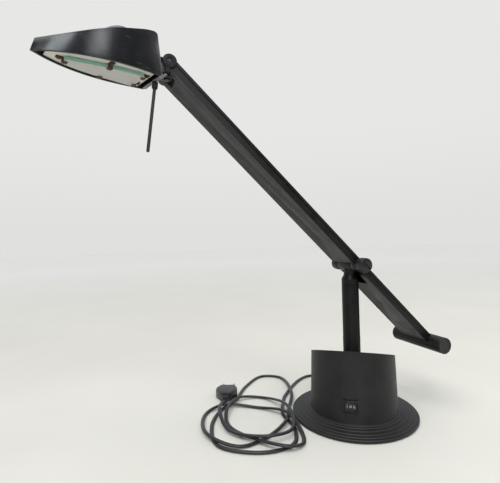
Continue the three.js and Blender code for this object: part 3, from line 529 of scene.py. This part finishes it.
outline = []
for i in range(24):
    angle = 2 * math.pi * i / 24
    waist = 1 - 0.16 * (1 - abs(math.cos(angle))) ** 2
    outline.append(Vector((2.7 * math.cos(angle), 1.85 * math.sin(angle) * waist, 0)) * MM)
section = flat_curve("lead_section", outline, True)
lead = flat_curve("lead", lead_line, False)
lead.data.bevel_mode = "OBJECT"
lead.data.bevel_object = section
lead.data.twist_mode = "Z_UP"
lead.data.use_fill_caps = True
pick(lead)
bpy.ops.object.convert(target="MESH")
lead = bpy.context.object
bpy.data.objects.remove(section, do_unlink=True)
bpy.ops.object.mode_set(mode="EDIT")
tidy_faces()
hand_over(lead, "base", ["mains_cord"], lead_skin, smooth=60)

# %% [markdown]
# ## The plug
# A flat two-pin plug is a low six-sided body with a thinner neck for the lead. It could start from a cube,
# but its outline is the thing one recognises, so the outline is drawn, filled, extruded to its height and
# then bevelled all round.


# %% Fill an outline and give it height
def raised(name, points, low, high):
    piece = draw(name, [(x, y, low) for x, y in points])
    bpy.ops.mesh.select_all(action="SELECT")
    bpy.ops.mesh.edge_face_add()
    bpy.ops.mesh.extrude_region_move(TRANSFORM_OT_translate={"value": (0, 0, (high - low) * MM)})
    tidy_faces()
    return piece


# %% Plug body
PIN_OFFSET = 9.3
QUARTER_BACK = math.radians(-90)
edge = [(0, 3.6), (8, 4.6), (12, 8.5), (24, 17), (30, 17.6), (35, 17), (46, 11.6)]
plug = raised("plug", edge + [(x, -y) for x, y in reversed(edge)], -6.8, 6.8)
rounded(plug, 1.6, segments=4, angle=50)
cut(plug, block("neck_above", (-1, -20, 4.2), (9.5, 20, 9)))
cut(plug, block("neck_below", (-1, -20, -9), (9.5, 20, -4.2)))
for offset in (1.5, 4, 6.5):
    cut(plug, block("neck_slot_above", (offset, -3, 3.6), (offset + 1, 3, 6)))
    cut(plug, block("neck_slot_below", (offset, -3, -6), (offset + 1, 3, -3.6)))
for side in (-1, 1):
    well = spun("pin_well", [(0, 40), (2.3, 40), (2.3, 50), (0, 50)], "Y", 24)
    placed(well, Matrix.Translation((0, side * PIN_OFFSET * MM, 0)) @ Matrix.Rotation(QUARTER_BACK, 4, "Z"))
    cut(plug, well)
rounded(plug, 0.25, segments=2, angle=40)
placed(plug, PLUG)
hand_over(plug, "base", ["plug_body"], plug_moulding)

# %% [markdown]
# Each pin is a steel rod with a domed tip and a black sleeve round its first half, as on every such plug.

# %% Plug pins
rod_outline = [(0, 0), (2, 0), (2, 21.6), (1.5, 23.2), (0.8, 23.9), (0, 24)]
sleeve_outline = [(2.02, 5), (2.2, 5), (2.2, 14.6), (2.02, 14.8), (2.02, 5)]
pins = []
for i, side in enumerate((-1, 1)):
    out = Matrix.Translation((41 * MM, side * PIN_OFFSET * MM, 0)) @ Matrix.Rotation(QUARTER_BACK, 4, "Z")
    pin = spun(f"plug_pin_metal_{i + 1}", rod_outline, "Y", 32)
    placed(pin, PLUG @ out)
    hand_over(pin, "base", [f"plug_pin_{i + 1}"], plain_steel)
    sleeve = spun(f"plug_pin_sleeve_{i + 1}", sleeve_outline, "Y", 32)
    placed(sleeve, PLUG @ out)
    hand_over(sleeve, "base", [], small_moulding)
    pins += [pin, sleeve]

# %% [markdown]
# ## The base
# The drum and its flange are one moulding. Its outline, with four low steps on the flange, is spun round
# the axis. A slanted plane bisects the drum, which fills the cut with a flat top, and the rim is bevelled.

# %% Spin the drum
foot, foot_height, draft = 62.4, 11.1, 0.033
top_of_spin = 116
steps_down = [(84.8, 4.7, 5.7), (79.6, 5.8, 6.9), (73, 7.0, 8.1), (67.4, 8.2, 9.3)]
outline = [(89.2, 0.6), (90, 1.4), (90, 3.8), (89.3, 4.5)]
for radius, low, high in steps_down:
    outline += [(radius + 1.5, low), (radius + 0.5, low + 0.1)]
    outline += [(radius + 0.15, high - 0.25), (radius - 0.4, high)]
outline += [(64.4, 9.4), (63.9, 10.3), (62.7, 10.6), (foot, foot_height)]
outline += [(foot - draft * (top_of_spin - foot_height), top_of_spin)]
drum = spun("drum", outline, steps=160)
print("drum spun from", len(outline), "points")

# %% Slant its top
pick(drum)
bpy.ops.object.mode_set(mode="EDIT")
bpy.ops.mesh.select_all(action="SELECT")
slope = math.radians(17.7)
bpy.ops.mesh.bisect(plane_co=(0, 0, 88.4 * MM), plane_no=(0, math.sin(slope), math.cos(slope)),
                    use_fill=True, clear_outer=True)
tidy_faces()
rounded(drum, 1.0, segments=3, angle=50)

# %% [markdown]
# The moulding is a shell, so Solidify gives it a wall on its inside. Then holes are cut for the post, the
# switch and the lead, each a little larger than what passes through.

# %% Wall and openings
applied(drum, "SOLIDIFY", thickness=2.6 * MM, offset=-1)
cut(drum, spun("post_hole", [(0, 40), (13.2, 40), (13.2, 130), (0, 130)]))
cut(drum, block("switch_hole", (-9.6, -70, 28.3), (9.6, -50, 41.5)))
cut(drum, placed(spun("lead_hole", [(0, 50), (4.7, 50), (4.7, 70), (0, 70)], "Y"),
                 Matrix.Translation((0, 0, 17 * MM))))
rounded(drum, 0.3, segments=2, angle=60)
placed(drum, BASE)
hand_over(drum, "base", ["base_housing"], grained_moulding, smooth=30)

# %% [markdown]
# ## The rocker switch
# The bezel keeps its CAD shape. The rocker's face is a shallow hollow between two raised ends, so its
# outline is drawn with a curved front, and it carries three plain printed marks that stand a hair proud.

# %% Bezel and rocker
frame_piece = softened("switch_frame", 0.45)
hand_over(frame_piece, "base", ["switch_frame"], small_moulding)

SWITCH_FACE, SWITCH_HEIGHT = -64.0, 34.9


def rocker_face(x):
    return SWITCH_FACE + 0.5 - 1.6 * (x / 7.8) ** 2


front = [(x, rocker_face(x)) for x in (-7.8, -6.5, -5.2, -3.9, -2.6, -1.3, 0, 1.3, 2.6, 3.9, 5.2, 6.5, 7.8)]
rocker = raised("rocker", [*front, (7.4, -57.7), (3, -53.7), (-3, -53.7), (-7.4, -57.7)], 29.9, 39.9)
rounded(rocker, 0.35, segments=3, angle=40)
placed(rocker, BASE)
hand_over(rocker, "rocker", ["switch_rocker"], rocker_black, smooth=30)

# %% Marks on the rocker
marks = []
for x in (-4.6, 4.0, 5.4):
    face = rocker_face(x)
    bar = block("mark_bar", (x - 0.3, face - 0.1, 33.3), (x + 0.3, face + 0.4, 36.5))
    marks.append(rounded(bar, 0.06, segments=1))
face = rocker_face(0)
ring = spun("mark_ring", [(0.95, face - 0.1), (1.45, face - 0.1), (1.45, face + 0.3), (0.95, face + 0.3),
                          (0.95, face - 0.1)], "Y", 32)
marks.append(placed(ring, Matrix.Translation((0, 0, SWITCH_HEIGHT * MM))))
for i, mark in enumerate(marks):
    mark.name = mark.data.name = f"rocker_mark_{i + 1}"
    placed(mark, BASE)
    hand_over(mark, "rocker", [], mark_white)

# %% [markdown]
# ## The strain relief
# Where a lead leaves a housing, a soft tapered sleeve keeps it from bending sharply. Its ribs let it flex:
# they are only steps in the outline before it is spun.

# %% Ribbed strain relief
outline = [(0, 56.3), (6.4, 56.3), (6.4, 59), (4.4, 59), (4.4, 62.6), (5.4, 62.9), (5.4, 65.3), (4.5, 66.6)]
for rib in range(7):
    along, radius = 67.5 + 3.2 * rib, 4.5 - 0.2 * rib
    waist = radius - 0.8
    outline += [(radius, along), (radius, along + 1.9), (waist, along + 2.1), (waist, along + 3.0)]
outline += [(3.2, 90), (3.2, 93.6), (2.9, 94), (0, 94)]
relief = spun("ribbed_relief", outline, "Y", 48)
rounded(relief, 0.15, segments=2, angle=40)
placed(relief, BASE @ Matrix.Translation((0, 0, 17 * MM)))
hand_over(relief, "base", ["strain_relief"], dull_rubber)

# %% [markdown]
# ## The post
# A turned tube whose lower sleeve is a hair wider, and a cast head with a shoulder, a neck and a cross hub.
# The head is a union of two round shapes, so its CAD copy is softened instead of being modelled again.

# %% Post
tube = spun("post_sleeve", [(10, 46), (12.5, 46), (12.5, 113), (12.3, 113.5), (12.2, 190.5), (11.8, 191),
                            (10, 191), (10, 46)], steps=96)
rounded(tube, 0.12, segments=2, angle=30)
hand_over(tube, "post", ["post_tube"], satin_paint)
hub = softened("post_head", 0.35, angle=28)
hand_over(hub, "post", ["post_head"], satin_paint, smooth=32)

# %% [markdown]
# ## The arm
# Two folded channels close on each other and leave a thin shadow line along each side. Their bends are
# tight, so the edges are rounded by half a millimetre only.

# %% Channel and cover
for node in ("arm_channel", "arm_cover"):
    hand_over(softened(node, 0.45, segments=3), "arm", [node], satin_paint, smooth=30)
for node in ("pivot_collar_near", "pivot_collar_far", "head_barrel_near", "head_barrel_far"):
    hand_over(softened(node, 0.3), "arm", [node], satin_paint)
hand_over(softened("barrel_middle", 0.3), "tilt_block", ["barrel_middle"], satin_paint)
for node in ("cover_screw_1", "cover_screw_2", "cover_screw_3", "head_pin_near", "head_pin_far"):
    hand_over(softened(node, 0.1), "arm", [node], blackened_steel)

# %% [markdown]
# The clamp knob is turned, with a coin slot across its face. The cap on the other side is a low dome. Both
# are modelled about their own axis and then laid into the arm's frame.

# %% Knob and cap
SIDE = 27.95
knob = spun("knob", [(0, -39.95), (9, -39.95), (9.9, -39.6), (10.2, -38.9), (10.2, -28.6), (9.6, -27.95),
                     (0, -27.95)], "Y", 96)
cut(knob, block("coin_slot", (-8, -42, -1.1), (8, -38.35, 1.1)))
rounded(knob, 0.2, segments=3, angle=35)
placed(knob, ARM)
hand_over(knob, "knob", ["clamp_knob"], small_moulding)
cap = spun("dome_cap", [(0, SIDE), (9.8, SIDE), (9.8, SIDE + 4), (9.3, SIDE + 5.6), (8, SIDE + 6.8),
                        (6, SIDE + 7.6), (3.4, SIDE + 7.95), (0, SIDE + 8)], "Y", 96)
placed(cap, ARM)
hand_over(cap, "arm", ["pivot_cap"], small_moulding, smooth=50)

# %% [markdown]
# The tail tube is the arm's counterweight. It is spun as a thick ring with two small drilled holes
# underneath, and each end is closed by a pressed cap with a raised ring.

# %% Tail tube
TAIL = ARM @ Matrix.Translation((181.3 * MM, 0, 0))
tube_wall = [(10.5, -46), (11.8, -46), (12.1, -45.7), (12.1, 45.7), (11.8, 46), (10.5, 46), (10.5, -46)]
tail = spun("tail", tube_wall, "Y", 96)
for y in (37, -27):
    drill = spun("drill", [(0, -14), (1.3, -14), (1.3, -9), (0, -9)], "Z", 24)
    cut(tail, placed(drill, Matrix.Translation((0, y * MM, 0))))
placed(tail, TAIL)
hand_over(tail, "arm", ["tail_tube"], satin_paint)

# %% End caps
outline = [(0, 42.3), (10.2, 42.3), (10.2, 46.3), (12.1, 46.3), (12.1, 48.2), (11.8, 48.8), (11.2, 49),
           (9.2, 49), (8.7, 48.8), (8.4, 48.2), (0, 48.2)]
for side, node in ((0, "tail_cap_far"), (180, "tail_cap_near")):
    end_cap = spun(f"{node}_pressed", outline, "Y", 96)
    placed(end_cap, TAIL @ Matrix.Rotation(math.radians(side), 4, "Z"))
    hand_over(end_cap, "arm", [node], small_moulding)

# %% [markdown]
# ## The head
# The reflector head is a thin wedge. Seen from above its outline is a long teardrop; seen from the side
# its roof falls in a slow curve. So the outline is raised to a block that narrows upwards, a second block
# with the roof's profile trims it, the underside is opened, and Solidify gives the wall.


# %% The teardrop outline and the roof
def smooth_pairs(pairs):
    line = smooth_line([Vector((x, y, 0)) for x, y in pairs], steps=6)
    return [(p.x, p.y) for p in line]


REAR, LENGTH, HALF_WIDTH, HEIGHT = 20, 131, 27.6, 52
widths = [(0, 0.87), (0.12, 0.945), (0.3, 1), (0.46, 0.975), (0.62, 0.85), (0.76, 0.655), (0.88, 0.4),
          (0.955, 0.19), (1, 0.055)]
near_side = smooth_pairs([(REAR + LENGTH * a, HALF_WIDTH * b) for a, b in widths])
teardrop = [(-t, -w) for t, w in near_side] + [(-t, w) for t, w in reversed(near_side)]
shell = raised("shell", teardrop, 0, HEIGHT + 5)

# %% Lean the walls in
choose(shell, lambda vertex: vertex.co.z > 0.05)
lean = 1 - 0.003 * (HEIGHT + 5)
bpy.ops.transform.resize(value=(lean, lean, 1), center_override=(-35 * MM, 0, 0))
bpy.ops.object.mode_set(mode="OBJECT")

# %% Trim it with the roof's profile
heights = [(0.05, 0.985), (0.12, 0.95), (0.25, 0.85), (0.4, 0.735), (0.55, 0.6), (0.72, 0.435), (0.88, 0.3),
           (1, 0.215), (1.06, 0.17)]
roof = smooth_pairs([(REAR + LENGTH * a, HEIGHT * b) for a, b in heights])
rear_corner = [(19.4, 40), (20.3, 45), (21.6, 48.4), (23.6, 50.4)]
profile = [(10, -20), (170, -20), (170, 6), *reversed(roof), *reversed(rear_corner), (10, 40)]
wedge = raised("wedge", [(-t, z) for t, z in profile], -60, 60)
placed(wedge, Matrix.Rotation(math.radians(90), 4, "X"))
applied(shell, "BOOLEAN", operation="INTERSECT", solver="EXACT", object=wedge)
bpy.data.objects.remove(wedge, do_unlink=True)
print("shell trimmed:", len(shell.data.vertices), "vertices")

# %% Open the underside, soften the rim, give it a wall
choose(shell, lambda face: face.normal.z < -0.9 and face.center.z < 0.001, "FACE")
bpy.ops.mesh.delete(type="FACE")
bpy.ops.mesh.select_all(action="SELECT")
bpy.ops.mesh.dissolve_limited(angle_limit=math.radians(0.2))
bpy.ops.mesh.select_mode(type="VERT")
bpy.ops.object.mode_set(mode="OBJECT")
rounded(shell, 1.8, segments=4, angle=40)
applied(shell, "SOLIDIFY", thickness=2.2 * MM, offset=-1)
cut(shell, block("yoke_window", (-32, -8.5, 9.1), (-18, 8.5, 31.9)))
rounded(shell, 0.25, segments=2, angle=60)
placed(shell, HEAD)
hand_over(shell, "head", ["head_shell"], head_moulding, smooth=32)

# %% [markdown]
# The vent cap lets the bulb's heat out of the roof. It is a low dome with three shallow rings, tipped to
# lie along the roof's slope.

# %% Vent cap
VENT = HEAD @ Matrix.Translation((-64 * MM, 0, 40.8 * MM)) @ Matrix.Rotation(math.radians(-17), 4, "Y")
vent = spun("vent_dome", [(0, -2), (11.5, -2), (11.5, 1.2), (15.6, 1.2), (16, 1.6), (16, 4), (15.2, 5.4),
                          (14, 6.4), (13.2, 6.3), (12.4, 7.2), (11.2, 7.7), (10.4, 7.5), (9.6, 8.1),
                          (8, 8.5), (7.2, 8.3), (6.2, 8.7), (3, 9), (0, 9)], steps=72)
placed(vent, VENT)
hand_over(vent, "head", ["vent_cap"], vent_grey, smooth=35)

# %% [markdown]
# Under the glass lies an enamelled reflector with a trough for the bulb. Glass, panel, clips, yoke and
# strip are plain sheet shapes whose CAD copies only need their edges softened.

# %% Reflector, glass, clips, yoke and strip
hand_over(softened("reflector_panel", 0.4), "head", ["reflector_panel"], grey_enamel, smooth=30)
# The glass carries painted light for the panel behind it, in its pale face.
hand_over(softened("glass_plate", 0.5, segments=3), "head", ["glass_plate"], pane_glass_painted_panel_light)
for i in range(1, 6):
    hand_over(softened(f"glass_clip_{i}", 0.2), "head", [f"glass_clip_{i}"], rusty_steel)
for node in ("head_yoke", "swivel_pin_upper", "swivel_pin_lower"):
    hand_over(softened(node, 0.2), "head", [node], blackened_steel)
# The strip's grey finish is a painted reflection of the bright table, not its own colour.
hand_over(softened("rear_strip", 0.2), "head", ["rear_strip"], strip_painted_reflection_grey)

# %% [markdown]
# The handle is a thin rod that is screwed into a collar under the strip, and leans a little forward.

# %% Handle
handle_lean = Matrix.Rotation(math.radians(9.2), 4, "Y")
HANDLE = HEAD @ Matrix.Translation((-22 * MM, -10 * MM, -1.8 * MM)) @ handle_lean
outline = [(0, -86), (1.2, -86), (1.7, -85.7), (1.9, -85), (1.9, -1), (1.7, -0.8), (0, -0.8)]
stem = spun("handle_stem", outline, steps=40)
placed(stem, HANDLE)
hand_over(stem, "head", ["handle_rod"], handle_black)
collar = spun("stem_collar", [(2.2, -9), (3.1, -9), (3.5, -8.2), (3.5, -5.4), (3.2, -5.1), (3.2, -4.6),
                              (3.5, -4.3), (3.5, -1.4), (2.2, -1.4), (2.2, -9)], steps=48)
rounded(collar, 0.12, segments=2, angle=40)
placed(collar, HANDLE)
hand_over(collar, "head", ["handle_collar"], small_moulding)

# %% [markdown]
# ## What stays as it is
# The pieces inside and underneath are seen little or not at all, so their CAD nodes stay and only get a
# finish. A node's mesh isn't touched: the finish goes into its material slot.

# %% Finishes for the CAD nodes that stay
inside = {
    dull_rubber: ["base_pad", "arm_cable"],
    plain_steel: ["bottom_plate", "bottom_screw_1", "bottom_screw_2", "bottom_screw_3",
                  "post_retaining_ring", "pivot_bolt"],
    cast_iron: ["ballast_weight", "tail_weight", "transformer_core"],
    copper_wire: ["transformer_coil"],
    china: ["terminal_block", "lamp_holder"],
    grey_nylon: ["post_bush", "friction_washer_near", "friction_washer_far"],
    bulb_glass: ["halogen_lamp"],
}
for material, names in inside.items():
    for name in names:
        node = frame["nodes"][name]
        if not node.material_slots:
            node.data.materials.append(material)
        for material_slot in node.material_slots:
            material_slot.material = material
shown = [name for name, node in frame["nodes"].items() if not node.hide_render]
print("nodes still shown:", len(shown))
left = sorted(set(shown) - {name for names in inside.values() for name in names})
print("nodes without a finish:", left)

# %% [markdown]
# ## The floor
# The floor is a wide pale disc with a faint mottle. It pales further out, where the light that falls on it
# gets weaker, so that floor and wall meet without a hard line.


# %% A floor that pales with distance
def paler_far_out(material, colour, near, far):
    tree = material.node_tree
    where = add_node(tree, "TexCoord")
    away = add_node(tree, "VectorMath", operation="LENGTH")
    fade = add_node(tree, "MapRange", from_min=near, from_max=far)
    tree.links.new(where.outputs["Object"], away.inputs[0])
    tree.links.new(away.outputs["Value"], fade.inputs["Value"])
    lay_over(tree, fade.outputs["Result"], colour)


FLOOR_RADIUS = 9
pick()
bpy.ops.mesh.primitive_circle_add(vertices=96, radius=FLOOR_RADIUS, fill_type="NGON",
                                  location=(0, 0, -0.0004))
floor = bpy.context.object
floor.name = "floor"
pale_floor = finish("pale_floor", (0.67, 0.655, 0.595), (0.71, 0.695, 0.635), patch=3, gloss=(0.6, 0.7),
                    grain=300, relief=0.03)
paler_far_out(pale_floor, (0.83, 0.825, 0.8), near=0.9, far=3.5)
floor.data.materials.append(pale_floor)
print("floor is a disc", 2 * FLOOR_RADIUS, "m across")

# %% [markdown]
# ## The room
# Black things show what they mirror, not what lights them. So the room that the lamp mirrors is bright
# behind it, which draws light along its grazing edges, and dark on the camera's side, which keeps its
# faces black. The camera itself sees a plain pale wall instead, a little darker down by the floor.


# %% World
def number_along(way, direction, start, end, low, high):
    tree = way.id_data
    depth = add_node(tree, "VectorMath", operation="DOT_PRODUCT")
    depth.inputs[1].default_value = direction
    shade = add_node(tree, "MapRange", from_min=start, from_max=end, to_min=low, to_max=high)
    tree.links.new(way.outputs["Generated"], depth.inputs[0])
    tree.links.new(depth.outputs["Value"], shade.inputs["Value"])
    return shade


world = bpy.data.worlds.new("room")
world.use_nodes = True
bpy.context.scene.world = world
tree = world.node_tree
way = add_node(tree, "TexCoord")
room = tree.nodes["Background"]
room.inputs["Color"].default_value = (0.95, 0.97, 1.0, 1)
room_light = number_along(way, ahead, -0.4, 0.6, 0.1, 0.7)
tree.links.new(room_light.outputs["Result"], room.inputs["Strength"])
wall = add_node(tree, "Background", color=(0.8, 0.8, 0.79, 1))
wall_light = number_along(way, (0, 0, 1), -0.02, 0.3, 0.93, 1.0)
wall_light.interpolation_type = "SMOOTHSTEP"
tree.links.new(wall_light.outputs["Result"], wall.inputs["Strength"])
seen = add_node(tree, "LightPath")
either = add_node(tree, "MixShader")
tree.links.new(seen.outputs["Is Camera Ray"], either.inputs[0])
tree.links.new(room.outputs[0], either.inputs[1])
tree.links.new(wall.outputs[0], either.inputs[2])
tree.links.new(either.outputs[0], tree.nodes["World Output"].inputs["Surface"])
print("world:", world.name)

# %% [markdown]
# ## The lights
# A broad soft sun from above lights the floor, which in turn lights the arm from below. Two tall panels
# behind the camera draw the two soft bands on the head's curved side, and a third, off to the right, lights
# the drum's edge. The standard view keeps black as deep and the wall as pale as they are set here.


# %% Lights
LAMP_MIDDLE = Vector((-0.2, 0, 0.35))


def soft_light(name, kind, azimuth, height, distance, energy, tint=(1, 1, 1)):
    data = bpy.data.lights.new(name, kind)
    data.energy = energy
    data.color = tint
    az, el = math.radians(azimuth), math.radians(height)
    towards = Vector((math.cos(az) * math.cos(el), math.sin(az) * math.cos(el), math.sin(el)))
    light = bpy.data.objects.new(name, data)
    bpy.context.collection.objects.link(light)
    light.location = LAMP_MIDDLE + distance * towards
    light.rotation_euler = towards.to_track_quat("Z", "Y").to_euler()
    return data


def panel(name, azimuth, height, energy, width, tall, tint=(1, 1, 1)):
    data = soft_light(name, "AREA", azimuth, height, 2.2, energy, tint)
    data.shape = "RECTANGLE"
    data.size, data.size_y = width, tall


soft_light("sun", "SUN", -150, 68, 3, 1.85).angle = math.radians(50)
panel("left_panel", -111, 36, 18, 0.55, 1.3, tint=(0.88, 0.95, 1.0))
panel("right_panel", -73, 37, 10, 0.35, 1.3, tint=(0.94, 0.97, 1.0))
panel("side_panel", -12, 22, 6, 0.5, 1.5)
bpy.context.scene.view_settings.view_transform = "Standard"

# %% [markdown]
# ## The triangle count
# The triangles of all the new pieces are counted.

# %% Count the triangles
print("triangles:", sum(len(f.vertices) - 2 for piece in made for f in piece.data.polygons))
